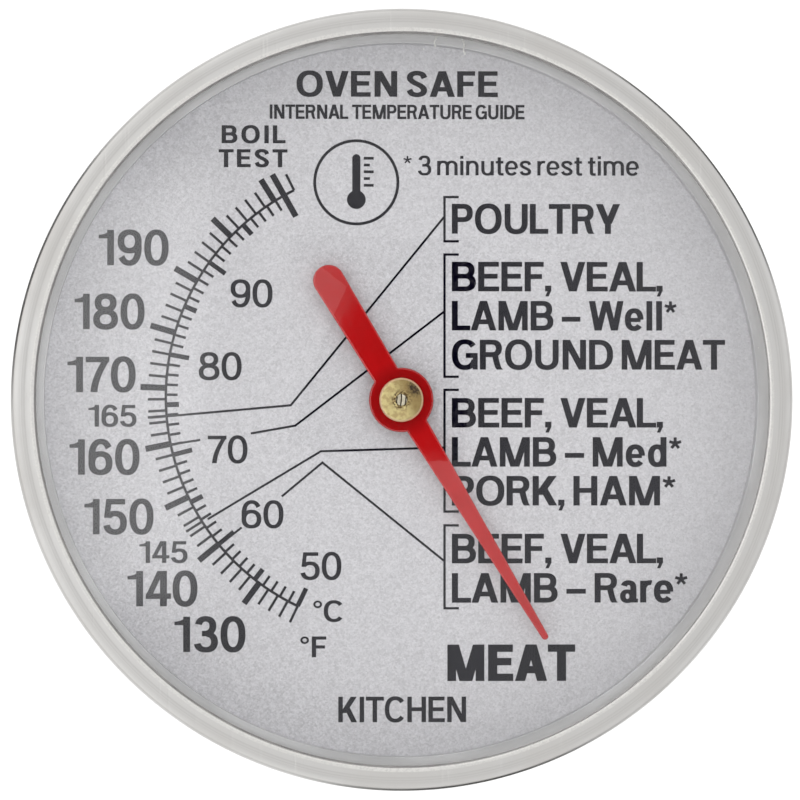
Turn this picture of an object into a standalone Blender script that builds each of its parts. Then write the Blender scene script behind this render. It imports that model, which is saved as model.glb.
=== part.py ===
"""A dial meat thermometer with a bimetal stem, modelled as the pieces it comes apart into.

The stem stands on its point at the origin and runs up +Z to the head, whose dial faces +Z with
twelve o'clock towards +Y. Three groups move against each other. The stem carries the hexagon
collar, the bearings and the foot of the bimetal coil. The head is the case, dial and window, and
it turns on the collar to calibrate the reading. The pointer turns with the top of the coil.
"""

import math

import bmesh
import bpy
from mathutils import Vector

MM = 0.001
GAP = 0.05  # between two pieces that touch on the real object

# Driving dimensions, in millimetres
HEAD_RADIUS = 25.5  # outside of the bezel ring
SHEET = 0.5  # drawn stainless sheet of the case
BEZEL_SHEET = 0.55
WINDOW_RADIUS = 23.95  # clear opening inside the bezel's lip
STEM_LENGTH = 114.3  # point to the underside of the collar
STEM_RADIUS = 2.0
STEM_WALL = 0.35
SHAFT_RADIUS = 0.4
DIAL_THICKNESS = 0.5
SPACER_HEIGHT = 2.2
LENS_THICKNESS = 2.0
GASKET_THICKNESS = 0.4
COLLAR_FLATS = 9.5  # across flats
COLLAR_HEIGHT = 4.6
CASE_DEPTH = 4.7  # dial's printed face down to the flat back

# Heights on the stem's axis, in millimetres above the point
COLLAR_Z = STEM_LENGTH
BACK_Z = COLLAR_Z + COLLAR_HEIGHT
DIAL_Z = BACK_Z + CASE_DEPTH
TIP_LENGTH = 9.0
PLUG_LENGTH = 3.0
TUBE_TOP_Z = DIAL_Z - 1.65
COIL_FOOT_Z = 14.0
COIL_TURNS = 24
COIL_PITCH = 1.5
COIL_TOP_Z = COIL_FOOT_Z + COIL_TURNS * COIL_PITCH

# Radii that follow from the driving dimensions, in millimetres
BORE_RADIUS = STEM_RADIUS - STEM_WALL  # inside of the stem tube
SKIRT_RADIUS = HEAD_RADIUS - BEZEL_SHEET
CASE_RADIUS = SKIRT_RADIUS - GAP
SEAT_RADIUS = CASE_RADIUS - SHEET  # inside of the case where the dial and window sit
STACK_RADIUS = SEAT_RADIUS - 0.1  # dial, spacer and window
SPACER_BORE = 23.4
CUP_RADIUS = 23.1  # outside of the case below its shoulder
CUP_CORNER = 3.0
RECESS_DEPTH = 0.6
SPIGOT_RADIUS = 3.05
SPIGOT_HOLE = 3.15
JOURNAL = SHAFT_RADIUS + 0.1  # bearing bore
BUSH_RADIUS = BORE_RADIUS - GAP
COIL_RADIUS = 1.45
COIL_STRIP = 0.18  # thickness of the wound strip
COIL_WIDTH = 0.9  # width of the wound strip
MANDREL_RADIUS = COIL_RADIUS - COIL_STRIP - GAP

# Heights inside the head, in millimetres above the dial's printed face
LENS_LOW = SPACER_HEIGHT + 2 * GAP
LENS_HIGH = LENS_LOW + LENS_THICKNESS
LIP_LOW = LENS_HIGH + GASKET_THICKNESS + 2 * GAP
SHOULDER_TOP = -DIAL_THICKNESS - GAP
SHOULDER_LOW = SHOULDER_TOP - SHEET
RECESS_LOW = -CASE_DEPTH + RECESS_DEPTH  # outer face of the recess round the collar
POINTER_LOW = 0.9
POINTER_THICKNESS = 0.3

# The pointer at 27 C. The scale runs 125 degrees of arc for 50 degrees Celsius.
POINTER_BEARING = 148.7  # degrees clockwise from twelve o'clock
POINTER_REACH = 18.4
POINTER_TAIL = 10.2
POINTER_BOSS = 2.12
POINTER_HOLE = 0.95

HEAD_STEPS = 60
STEM_STEPS = 32
SMALL_STEPS = 24

FINISHES = {
    "satin_steel": ((0.60, 0.59, 0.57), 0.34, 1.0),
    "drawn_steel": ((0.55, 0.54, 0.52), 0.30, 1.0),
    "glass": ((0.92, 0.96, 0.96), 0.04, 0.0),
    "silver_paint": ((0.56, 0.56, 0.58), 0.45, 0.4),
    "red_paint": ((0.42, 0.01, 0.012), 0.35, 0.0),
    "brass": ((0.60, 0.45, 0.20), 0.35, 1.0),
    "silicone": ((0.09, 0.09, 0.09), 0.60, 0.0),
    "spring_steel": ((0.42, 0.40, 0.37), 0.40, 1.0),
    "bimetal": ((0.48, 0.42, 0.34), 0.42, 1.0),
    "white_polymer": ((0.80, 0.79, 0.76), 0.50, 0.0),
}


def material(finish):
    """The Principled material of that finish, made the first time it is asked for."""
    if finish in bpy.data.materials:
        return bpy.data.materials[finish]
    colour, roughness, metallic = FINISHES[finish]
    made = bpy.data.materials.new(finish)
    made.use_nodes = True
    shader = made.node_tree.nodes["Principled BSDF"]
    shader.inputs["Base Color"].default_value = (*colour, 1.0)
    shader.inputs["Roughness"].default_value = roughness
    shader.inputs["Metallic"].default_value = metallic
    return made


def group(name):
    """An empty on the stem's axis that holds one moving group."""
    empty = bpy.data.objects.new(name, None)
    bpy.context.scene.collection.objects.link(empty)
    return empty


def piece(name, mesh_builder, finish, parent, height=0.0):
    """An object from a bmesh, with its finish, its parent and its height on the axis."""
    mesh = bpy.data.meshes.new(name)
    bmesh.ops.recalc_face_normals(mesh_builder, faces=mesh_builder.faces)
    mesh_builder.to_mesh(mesh)
    mesh_builder.free()
    mesh.materials.append(material(finish))
    mesh.shade_smooth()
    mesh.set_sharp_from_angle(angle=math.radians(35))
    made = bpy.data.objects.new(name, mesh)
    bpy.context.scene.collection.objects.link(made)
    made.parent = parent
    made.location.z = height * MM
    return made


def arc(centre_r, centre_z, radius, start, end, steps):
    """Points of a circular arc in the profile plane, from start to end degrees."""
    angles = [math.radians(start + (end - start) * i / steps) for i in range(steps + 1)]
    return [(centre_r + radius * math.cos(a), centre_z + radius * math.sin(a)) for a in angles]


def turned(profile, steps):
    """A closed (radius, height) profile in millimetres, spun once round the Z axis."""
    made = bmesh.new()
    points = [made.verts.new((r * MM, 0.0, z * MM)) for r, z in profile]
    edges = [made.edges.new((a, b)) for a, b in zip(points, points[1:] + points[:1])]
    bmesh.ops.spin(
        made, geom=points + edges, cent=(0, 0, 0), axis=(0, 0, 1),
        angle=2 * math.pi, steps=steps, use_merge=True,
    )
    bmesh.ops.remove_doubles(made, verts=made.verts, dist=1e-7)
    bmesh.ops.dissolve_degenerate(made, edges=made.edges, dist=1e-8)
    return made


def rectangle(inner, outer, low, high):
    """The profile of a plain turned ring."""
    return [(inner, low), (outer, low), (outer, high), (inner, high)]


def extruded(outlines, low, high):
    """A flat plate between two heights, from an outer outline and any hole outlines."""
    made = bmesh.new()
    edges = []
    for outline in outlines:
        points = [made.verts.new((x * MM, y * MM, low * MM)) for x, y in outline]
        edges += [made.edges.new((a, b)) for a, b in zip(points, points[1:] + points[:1])]
    bmesh.ops.triangle_fill(made, edges=edges, use_beauty=True)
    grown = bmesh.ops.extrude_face_region(made, geom=made.faces[:])["geom"]
    raised = [v for v in grown if isinstance(v, bmesh.types.BMVert)]
    bmesh.ops.translate(made, verts=raised, vec=(0, 0, (high - low) * MM))
    return made


def circle(radius, steps):
    """Points round a circle, starting at +X."""
    turn = 2 * math.pi / steps
    return [(radius * math.cos(i * turn), radius * math.sin(i * turn)) for i in range(steps)]


def boolean(target, cutter, operation):
    """Cuts or joins with a helper that is left out of the model."""
    cutter.hide_render = True
    cutter.display_type = "WIRE"
    modifier = target.modifiers.new(operation.lower(), "BOOLEAN")
    modifier.operation = operation
    modifier.object = cutter


def make_case(head):
    """The drawn cup: a recessed centre, a flat back, a round corner, a shoulder and a wall."""
    inner_corner = CUP_CORNER - SHEET
    corner_r = CUP_RADIUS - CUP_CORNER
    corner_z = -CASE_DEPTH + CUP_CORNER
    outside = [(SPIGOT_HOLE, RECESS_LOW), (6.6, RECESS_LOW), (7.4, -CASE_DEPTH)]
    outside += arc(corner_r, corner_z, CUP_CORNER, -90, 0, 5)
    outside += [(CUP_RADIUS, SHOULDER_LOW), (CASE_RADIUS, SHOULDER_LOW), (CASE_RADIUS, LENS_HIGH)]
    inside = [(SEAT_RADIUS, LENS_HIGH), (SEAT_RADIUS, SHOULDER_TOP)]
    inside += [(CUP_RADIUS - SHEET, SHOULDER_TOP)]
    inside += arc(corner_r, corner_z, inner_corner, 0, -90, 5)
    inside += [(7.65, -CASE_DEPTH + SHEET), (6.85, RECESS_LOW + SHEET)]
    inside += [(SPIGOT_HOLE, RECESS_LOW + SHEET)]
    piece("case", turned(outside + inside, HEAD_STEPS), "drawn_steel", head, DIAL_Z)


def make_bezel_ring(head):
    """The ring over the case's wall: lip over the window, skirt, and the curl under the shoulder."""
    curl_top = SHOULDER_LOW - GAP
    curl_low = curl_top - BEZEL_SHEET
    crest = LIP_LOW + BEZEL_SHEET
    round_over = 0.75
    profile = [(24.0, curl_top), (24.0, curl_low)]
    profile += arc(HEAD_RADIUS - 0.6, curl_low + 0.6, 0.6, -90, 0, 3)
    profile += arc(HEAD_RADIUS - round_over, crest - round_over, round_over, 0, 90, 4)
    profile += [(24.52, crest - 0.15), (24.28, crest - 0.07), (24.05, crest - 0.14)]
    profile += [(WINDOW_RADIUS, crest - 0.3), (WINDOW_RADIUS, LIP_LOW)]
    profile += [(SKIRT_RADIUS, LIP_LOW), (SKIRT_RADIUS, curl_top)]
    piece("bezel_ring", turned(profile, HEAD_STEPS), "satin_steel", head, DIAL_Z)


def make_window(head):
    """The flat glass window with ground edges, and the silicone ring between it and the lip."""
    ground = 0.15
    edge = STACK_RADIUS - ground
    profile = [(0, LENS_LOW), (edge, LENS_LOW), (STACK_RADIUS, LENS_LOW + ground)]
    profile += [(STACK_RADIUS, LENS_HIGH - ground), (edge, LENS_HIGH), (0, LENS_HIGH)]
    piece("lens", turned(profile, HEAD_STEPS), "glass", head, DIAL_Z)
    seal = rectangle(WINDOW_RADIUS + 0.03, CASE_RADIUS, LENS_HIGH + GAP, LIP_LOW - GAP)
    piece("lens_gasket", turned(seal, HEAD_STEPS), "silicone", head, DIAL_Z)


def box_at_six(name, width, reach, heights, head):
    """A box at six o'clock, between two distances from the axis and two heights."""
    size = Vector((width, reach[1] - reach[0], heights[1] - heights[0])) * MM
    centre = Vector((0, -(reach[0] + reach[1]) / 2, (heights[0] + heights[1]) / 2)) * MM
    made = bmesh.new()
    bmesh.ops.create_cube(made, size=1.0)
    bmesh.ops.scale(made, vec=size, verts=made.verts)
    bmesh.ops.translate(made, vec=centre, verts=made.verts)
    return piece(name, made, "satin_steel", head, DIAL_Z)


def make_dial(head):
    """The dial plate and the spacer ring whose tab drops into the plate's notch."""
    tab_width = 2.0
    notch_width = tab_width + 0.3
    tab_inner = SPACER_BORE + 0.25
    plate = piece(
        "dial_plate", turned(rectangle(1.6, STACK_RADIUS, -DIAL_THICKNESS, 0), HEAD_STEPS),
        "silver_paint", head, DIAL_Z,
    )
    notch = box_at_six(
        "dial_notch_cutter", notch_width, (tab_inner - 0.1, STACK_RADIUS + 1), (-1.0, 0.5), head
    )
    boolean(plate, notch, "DIFFERENCE")
    ring = piece(
        "spacer_ring", turned(rectangle(SPACER_BORE, STACK_RADIUS, GAP, LENS_LOW - GAP), HEAD_STEPS),
        "satin_steel", head, DIAL_Z,
    )
    tab = box_at_six(
        "spacer_tab", tab_width, (tab_inner, STACK_RADIUS - 0.1), (-DIAL_THICKNESS, 0.5), head
    )
    boolean(ring, tab, "UNION")


def make_stem(stem):
    """The drawn tube and the ground point plugged into its foot."""
    tube = rectangle(BORE_RADIUS, STEM_RADIUS, TIP_LENGTH + GAP, TUBE_TOP_Z)
    piece("stem_tube", turned(tube, STEM_STEPS), "satin_steel", stem)
    plug = BORE_RADIUS - GAP
    point = [(0, 0), (0.14, 0.08), (0.26, 0.36), (1.2, 4.6), (STEM_RADIUS, TIP_LENGTH)]
    point += [(plug, TIP_LENGTH), (plug, TIP_LENGTH + PLUG_LENGTH), (0, TIP_LENGTH + PLUG_LENGTH)]
    piece("stem_tip", turned(point, STEM_STEPS), "satin_steel", stem)


def make_collar(stem):
    """The hexagon collar: a tapered neck, wrench flats and the spigot that the head turns on."""
    corner = COLLAR_FLATS / math.sqrt(3)
    bore = STEM_RADIUS + GAP
    neck = 1.5
    spigot_top = DIAL_Z - BACK_Z - 1.5
    profile = [(bore, 0), (2.7, 0), (3.7, neck), (4.55, neck), (corner, neck + 0.55)]
    profile += [(corner, COLLAR_HEIGHT - 0.45), (4.7, COLLAR_HEIGHT)]
    profile += [(SPIGOT_RADIUS, COLLAR_HEIGHT), (SPIGOT_RADIUS, COLLAR_HEIGHT + spigot_top - 0.2)]
    profile += [(SPIGOT_RADIUS - 0.2, COLLAR_HEIGHT + spigot_top), (bore, COLLAR_HEIGHT + spigot_top)]
    collar = piece("hex_collar", turned(profile, 48), "satin_steel", stem, COLLAR_Z)
    hexagon = piece(
        "collar_flats_cutter", extruded([circle(corner, 6)], -1, 12), "satin_steel", stem, COLLAR_Z
    )
    boolean(collar, hexagon, "INTERSECT")


def make_swivel_stack(stem):
    """The washers that let the head turn stiffly on the collar, and the ring that holds them."""
    seal = rectangle(SPIGOT_HOLE, 4.6, -CASE_DEPTH + GAP, RECESS_LOW - GAP)
    piece("seal_washer", turned(seal, 36), "white_polymer", stem, DIAL_Z)
    floor = RECESS_LOW + SHEET
    flat = rectangle(SPIGOT_HOLE, 5.2, floor + GAP, floor + 0.45)
    piece("flat_washer", turned(flat, 36), "spring_steel", stem, DIAL_Z)
    piece("wave_spring", wave_washer(floor + 0.5), "spring_steel", stem, DIAL_Z)
    push_on = extruded([circle(4.6, 36), toothed_hole()], floor + 1.35, floor + 1.75)
    piece("retaining_ring", push_on, "spring_steel", stem, DIAL_Z)


def wave_washer(low):
    """A ring whose height rises and falls three times round, between low and low plus 0.8 mm."""
    thickness, swing, waves, steps = 0.25, 0.275, 3, 48
    made = bmesh.new()
    rows = []
    for i in range(steps):
        angle = 2 * math.pi * i / steps
        middle = low + thickness / 2 + swing * (1 + math.sin(waves * angle))
        corners = [(3.2, -1), (5.0, -1), (5.0, 1), (3.2, 1)]
        rows.append([
            made.verts.new((
                r * math.cos(angle) * MM, r * math.sin(angle) * MM,
                (middle + side * thickness / 2) * MM,
            ))
            for r, side in corners
        ])
    for row, following in zip(rows, rows[1:] + rows[:1]):
        for k in range(4):
            made.faces.new((row[k], row[k - 1], following[k - 1], following[k]))
    return made


def toothed_hole():
    """The retaining ring's hole: six teeth that grip the spigot, with round relief between."""
    outline = []
    for tooth in range(6):
        middle = tooth * 60
        outline += [
            (r * math.cos(math.radians(middle + turn)), r * math.sin(math.radians(middle + turn)))
            for r, turn in ((3.1, -14), (3.1, 0), (3.1, 14), (3.6, 19), (3.75, 30), (3.6, 41))
        ]
    return outline


def make_bearings(stem):
    """The flanged brass bush at the head and the two guides that keep the shaft central."""
    low = TUBE_TOP_Z - 4.0
    bush = [(JOURNAL, low), (BUSH_RADIUS, low), (BUSH_RADIUS, TUBE_TOP_Z + GAP)]
    bush += [(1.9, TUBE_TOP_Z + GAP), (1.9, TUBE_TOP_Z + 0.45), (JOURNAL, TUBE_TOP_Z + 0.45)]
    piece("upper_bearing", turned(bush, SMALL_STEPS), "brass", stem)
    guide = [(JOURNAL, 0), (1.3, 0), (BUSH_RADIUS, 0.4), (BUSH_RADIUS, 2.6), (1.3, 3), (JOURNAL, 3)]
    for name, height in (("middle_guide", 85.0), ("lower_guide", COIL_TOP_Z + 6.0)):
        piece(name, turned(guide, SMALL_STEPS), "white_polymer", stem, height)


def make_coil(stem, pointer):
    """The wound bimetal strip, the anchor under its foot and the hub that it turns at its top."""
    base = TIP_LENGTH + PLUG_LENGTH + 0.1
    anchor = [(0, base), (BUSH_RADIUS, base), (BUSH_RADIUS, COIL_FOOT_Z - 0.1)]
    anchor += [(MANDREL_RADIUS, COIL_FOOT_Z - 0.1), (MANDREL_RADIUS, COIL_FOOT_Z + 3)]
    anchor += [(0, COIL_FOOT_Z + 3)]
    piece("coil_anchor", turned(anchor, SMALL_STEPS), "brass", stem)
    hub = rectangle(SHAFT_RADIUS + GAP, MANDREL_RADIUS, COIL_TOP_Z - 3, COIL_TOP_Z + 3)
    piece("coil_hub", turned(hub, SMALL_STEPS), "brass", pointer)
    piece("bimetal_coil", wound_strip(), "bimetal", pointer)


def wound_strip():
    """A flat strip wound on edge into a helix: its section is carried round and up the axis."""
    per_turn = 16
    steps = COIL_TURNS * per_turn
    low = COIL_FOOT_Z
    section = [(COIL_RADIUS - COIL_STRIP, 0), (COIL_RADIUS, 0)]
    section += [(COIL_RADIUS, COIL_WIDTH), (COIL_RADIUS - COIL_STRIP, COIL_WIDTH)]
    rise = (COIL_TURNS * COIL_PITCH - COIL_WIDTH) / steps
    made = bmesh.new()
    rows = []
    for i in range(steps + 1):
        angle = 2 * math.pi * i / per_turn
        rows.append([
            made.verts.new((r * math.cos(angle) * MM, r * math.sin(angle) * MM, (low + rise * i + z) * MM))
            for r, z in section
        ])
    for row, following in zip(rows, rows[1:]):
        for k in range(4):
            made.faces.new((row[k], row[k - 1], following[k - 1], following[k]))
    made.faces.new(rows[0])
    made.faces.new(rows[-1][::-1])
    return made


def pointer_outline():
    """A tapering hand along +Y, a round boss, and a counterweight tail that widens to a round end."""
    tip_half, root_half = 0.22, 0.75
    tail_root_half, tail_half = 0.9, 1.03
    boss = POINTER_BOSS
    start = math.degrees(math.acos(root_half / boss))
    tail_start = math.degrees(math.acos(tail_root_half / boss))
    outline = [(tip_half, POINTER_REACH), (-tip_half, POINTER_REACH)]
    outline += arc(0, 0, boss, 180 - start, 180 + tail_start, 10)
    outline += arc(0, tail_half - POINTER_TAIL, tail_half, 180, 360, 12)
    outline += arc(0, 0, boss, -tail_start, start, 10)
    return outline


def make_pointer(pointer):
    """The painted hand, the brass hub riveted through it, and the shaft down to the coil."""
    hand = extruded(
        [pointer_outline(), circle(POINTER_HOLE, SMALL_STEPS)],
        POINTER_LOW, POINTER_LOW + POINTER_THICKNESS,
    )
    piece("pointer_hand", hand, "red_paint", pointer, DIAL_Z)
    bore = SHAFT_RADIUS + GAP
    rivet = POINTER_HOLE - GAP
    under, over = POINTER_LOW - GAP, POINTER_LOW + POINTER_THICKNESS + GAP
    hub = [(bore, 0.2), (1.2, 0.2), (1.3, 0.3), (1.3, under), (rivet, under), (rivet, over)]
    hub += [(1.45, over), (1.45, over + 0.25), (1.33, over + 0.35), (0.6, over + 0.35)]
    hub += [(bore, over + 0.25)]
    piece("pointer_hub", turned(hub, SMALL_STEPS), "brass", pointer, DIAL_Z)
    low, high = COIL_TOP_Z - 2, DIAL_Z + over + 0.42
    rod = [(0, low), (SHAFT_RADIUS, low), (SHAFT_RADIUS, high - 0.1), (SHAFT_RADIUS - 0.1, high), (0, high)]
    piece("pointer_shaft", turned(rod, 16), "satin_steel", pointer)


def main():
    for old in list(bpy.data.objects):
        bpy.data.objects.remove(old)
    stem, head, pointer = group("stem_group"), group("head_group"), group("pointer_group")
    make_stem(stem)
    make_collar(stem)
    make_swivel_stack(stem)
    make_bearings(stem)
    make_case(head)
    make_bezel_ring(head)
    make_window(head)
    make_dial(head)
    make_coil(stem, pointer)
    make_pointer(pointer)
    pointer.rotation_euler.z = -math.radians(POINTER_BEARING)


main()
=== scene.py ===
"""The looks of a dial meat thermometer, made piece by piece in the order it is put together.

The CAD model is the frame. Every piece below is worked out in millimetres from the frame's boxes
and stands for the CAD solid of the same name.
"""

import math

import bmesh
import bpy
import numpy as np
from mathutils import Matrix, Vector
from mathutils.geometry import delaunay_2d_cdt


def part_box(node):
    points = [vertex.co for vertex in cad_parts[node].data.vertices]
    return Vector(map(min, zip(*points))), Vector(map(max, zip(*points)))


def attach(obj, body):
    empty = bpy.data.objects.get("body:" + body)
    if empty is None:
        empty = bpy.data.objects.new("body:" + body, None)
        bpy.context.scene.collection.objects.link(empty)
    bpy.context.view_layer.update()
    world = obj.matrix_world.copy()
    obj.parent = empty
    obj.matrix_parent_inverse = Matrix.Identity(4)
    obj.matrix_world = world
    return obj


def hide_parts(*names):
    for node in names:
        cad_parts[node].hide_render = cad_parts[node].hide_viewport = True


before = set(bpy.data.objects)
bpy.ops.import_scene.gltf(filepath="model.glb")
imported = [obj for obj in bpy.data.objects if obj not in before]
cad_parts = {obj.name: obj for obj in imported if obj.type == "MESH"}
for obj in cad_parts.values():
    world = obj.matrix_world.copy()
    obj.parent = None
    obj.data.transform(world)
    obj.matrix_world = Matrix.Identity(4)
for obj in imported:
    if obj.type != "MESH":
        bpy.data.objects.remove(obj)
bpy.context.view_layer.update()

# ----------------------------------------
# The stem: a 4 mm stainless tube, centreless ground to a satin finish, with a solid point plugged
# into its foot and held by a narrow laser weld. The grinding leaves fine rings all the way up,
# and oven heat has left a faint straw tint near the point.
# ----------------------------------------

MM = 0.001
steel_colour = (0.60, 0.585, 0.57)
heat_tint_colour = (0.50, 0.42, 0.30)
stem_wall = 0.35
weld_width = 0.35


def ring_of(node_name):
    """The outer radius, the lowest height and the highest height of a CAD node, in mm."""
    low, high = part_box(node_name)
    return high.x / MM, low.z / MM, high.z / MM


def plain(inner, outer, low, high):
    """The four corners of a plain ring's outline."""
    return [(inner, low), (outer, low), (outer, high), (inner, high)]


def rounded(corners, radius, steps=4):
    """A closed outline whose corners are eased.

    Each corner off the axis becomes a parabola from a point on the side before it, through the
    corner's pull, to a point on the side after it. Those points lie the radius away from the
    corner, or at most 0.45 of the side.
    """
    corners = np.asarray(corners, float)
    radii = np.broadcast_to(radius, len(corners))
    s = np.linspace(0, 1, steps + 1)[:, None]
    outline = []
    for here, before, after, r in zip(corners, np.roll(corners, 1, 0), np.roll(corners, -1, 0),
                                      radii):
        if here[0] == 0 or r == 0:
            outline.append(here[None])
            continue
        ends = []
        for other in (before, after):
            side = np.linalg.norm(other - here)
            ends.append(here + (other - here) / side * min(r, 0.45 * side))
        outline.append((1 - s) ** 2 * ends[0] + 2 * s * (1 - s) * here + s**2 * ends[1])
    return np.concatenate(outline)


def all_round(steps):
    """Evenly spaced angles once round a circle, one to a row."""
    return np.linspace(0, 2 * np.pi, steps, endpoint=False)[:, None]


def swept(reach, turn, height):
    """A grid of points: x is the reach times the cosine of the turn, y the reach times its sine,
    and z the height."""
    return np.stack(np.broadcast_arrays(reach * np.cos(turn), reach * np.sin(turn), height), -1)


def turned(outline, steps):
    """A closed outline of radius and height carried once round the Z axis."""
    return swept(outline[:, 0], all_round(steps), outline[:, 1])


def skin(grid, close_along=True, close_across=True):
    """Points and four-sided faces of a grid of points, closed on itself either way or both."""
    rows, columns = grid.shape[:2]
    i = np.arange(rows if close_along else rows - 1)[:, None]
    j = np.arange(columns if close_across else columns - 1)
    i_next, j_next = (i + 1) % rows, (j + 1) % columns
    corners = [i * columns + j, i_next * columns + j, i_next * columns + j_next,
               i * columns + j_next]
    faces = np.stack(np.broadcast_arrays(*corners), -1).reshape(-1, 4)
    return grid.reshape(-1, 3), faces


def fix(name, parts, material, body, stands_for=(), sharp=30, outward=True):
    """One finished piece: its parts' points in mm and faces joined, merged, faced outwards and
    shaded. It rides on its body, takes its finish, and stands for the CAD nodes named."""
    mesh = bpy.data.meshes.new(name)
    shift, points, faces = 0, [], []
    for part_points, part_faces in parts:
        points.append(np.asarray(part_points, float))
        faces += [[shift + corner for corner in face] for face in part_faces]
        shift += len(part_points)
    mesh.from_pydata(np.concatenate(points) * MM, [], faces)
    work = bmesh.new()
    work.from_mesh(mesh)
    bmesh.ops.remove_doubles(work, verts=work.verts, dist=2e-7)
    bmesh.ops.dissolve_degenerate(work, edges=work.edges, dist=1e-8)
    if outward:
        bmesh.ops.recalc_face_normals(work, faces=work.faces)
    work.to_mesh(mesh)
    work.free()
    mesh.shade_smooth()
    mesh.set_sharp_from_angle(angle=math.radians(sharp))
    mesh.materials.append(material)
    piece = bpy.data.objects.new(name, mesh)
    bpy.context.scene.collection.objects.link(piece)
    even = piece.modifiers.new("even_flats", "WEIGHTED_NORMAL")
    even.keep_sharp = True
    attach(piece, body)
    if stands_for:
        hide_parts(*stands_for)
    return piece


def lathe(name, corners, ease, steps, material, body, fine=4, sharp=30):
    """The piece for a CAD node that is turned from an outline of eased corners."""
    outline = rounded(corners, ease, fine)
    fix(name, [skin(turned(outline, steps))], material, body, [name], sharp)


def node(tree, kind, inputs=None, **settings):
    """A shader node with its settings, each of its inputs either linked or set."""
    made = tree.nodes.new("ShaderNode" + kind)
    for name, value in settings.items():
        setattr(made, name, value)
    for name, value in (inputs or {}).items():
        if isinstance(value, bpy.types.NodeSocket):
            tree.links.new(value, made.inputs[name])
        else:
            made.inputs[name].default_value = value
    return made


def effect(name, values, results):
    """A node group that finishes share, from its inputs' defaults and its outputs' kinds."""
    tree = bpy.data.node_groups.new(name, "ShaderNodeTree")
    for label, default in values.items():
        socket = tree.interface.new_socket(label, in_out="INPUT", socket_type="NodeSocketFloat")
        socket.default_value = default
    for label, kind in results.items():
        tree.interface.new_socket(label, in_out="OUTPUT", socket_type="NodeSocket" + kind)
    return tree, tree.nodes.new("NodeGroupInput").outputs, tree.nodes.new("NodeGroupOutput").inputs


def place(tree, group, **values):
    """An effect placed in a material with its own values, as its outputs."""
    made = tree.nodes.new("ShaderNodeGroup")
    made.node_tree = group
    for label, value in values.items():
        made.inputs[label].default_value = value
    return made.outputs


def maths(tree, operation, *values):
    """The number that an operation makes of others."""
    return node(tree, "Math", dict(enumerate(values)), operation=operation).outputs[0]


def vectors(tree, operation, *values):
    """What an operation makes of vectors: a number if it measures them, or else a vector."""
    made = node(tree, "VectorMath", dict(enumerate(values)), operation=operation)
    return made.outputs["Value" if operation in ("LENGTH", "DISTANCE", "DOT_PRODUCT") else "Vector"]


def between(tree, value, start, end, most=1.0, least=0.0, smooth=False):
    """A number that goes from least to most as the value goes from start to end."""
    reach = {"Value": value, "From Min": start, "From Max": end, "To Min": least, "To Max": most}
    kind = "SMOOTHSTEP" if smooth else "LINEAR"
    return node(tree, "MapRange", reach, interpolation_type=kind).outputs[0]


def ramp(tree, amount, low, high):
    """A number or a colour that goes from low to high as the amount goes from 0 to 1."""
    if isinstance(high, float):
        return between(tree, amount, 0.0, 1.0, high, low)
    low = (*low, 1) if isinstance(low, tuple) else low
    return node(tree, "Mix", {0: amount, 6: low, 7: (*high, 1)}, data_type="RGBA").outputs[2]


def spot_on(tree):
    """Where a point of the surface lies on its piece."""
    return node(tree, "TexCoord").outputs["Object"]


def flat_spot(tree):
    """Where a point of the surface lies on its piece, seen from above."""
    return vectors(tree, "MULTIPLY", spot_on(tree), (1, 1, 0))


def from_axis(tree):
    """How far a point of the surface is from the Z axis."""
    return vectors(tree, "LENGTH", flat_spot(tree))


def noise(tree, spot, scale, **settings):
    """Soft noise between 0 and 1."""
    inputs = {"Vector": spot, "Scale": scale, **settings}
    return node(tree, "TexNoise", inputs).outputs[0]


# Rings left by turning, spinning or centreless grinding: noise that changes with the distance
# from the axis and with height, but hardly round the axis.
turning_rings, given, out = effect("turning_rings", {"Fineness": 4000.0}, {"Ring": "Float"})
spot = spot_on(turning_rings)
height = node(turning_rings, "SeparateXYZ", {0: spot}).outputs["Z"]
drift = maths(turning_rings, "MULTIPLY", noise(turning_rings, spot, 90.0), 0.00006)
wander = maths(turning_rings, "ADD", from_axis(turning_rings), drift)
line = node(turning_rings, "CombineXYZ", {"X": wander, "Y": height}).outputs[0]
ring = noise(turning_rings, line, given["Fineness"], Detail=3.0, Roughness=0.65)
turning_rings.links.new(ring, out["Ring"])

# Blotches left by handling, washing and heat: soft patches between none and all.
handling, given, out = effect(
    "handling", {"Size": 200.0, "From": 0.4, "To": 0.65}, {"Patch": "Float"}
)
cloud = noise(handling, spot_on(handling), given["Size"], Detail=5.0)
patch = between(handling, cloud, given["From"], given["To"], smooth=True)
handling.links.new(patch, out["Patch"])

# Hairline scuffs: noise stretched along three directions, of which only the thin crests show.
hairlines, given, out = effect("hairlines", {"Fineness": 2500.0, "Amount": 0.68}, {"Line": "Float"})
crests = []
for heading in (0.3, 1.4, 2.5):
    along = {
        "Vector": spot_on(hairlines), "Rotation": (0.2, 0.1, heading), "Scale": (1.0, 0.03, 0.3),
    }
    stretched = node(hairlines, "Mapping", along).outputs[0]
    streak = noise(hairlines, stretched, given["Fineness"], Detail=1.0)
    crests.append(between(hairlines, streak, given["Amount"], 0.78))
widest = maths(hairlines, "MAXIMUM", maths(hairlines, "MAXIMUM", *crests[:2]), crests[2])
hairlines.links.new(widest, out["Line"])


def blotches(tree, size, start=0.4, end=0.65):
    """The blotches in a material, by their fineness and where in the noise they begin and end."""
    return place(tree, handling, Size=size, From=start, To=end)["Patch"]


def blank(name, settings):
    """A new material with its shader's settings: itself, its node tree and its shader's inputs."""
    made = bpy.data.materials.new(name)
    made.use_nodes = True
    inputs = made.node_tree.nodes["Principled BSDF"].inputs
    for label, value in settings.items():
        inputs[label].default_value = value
    return made, made.node_tree, inputs


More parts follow.
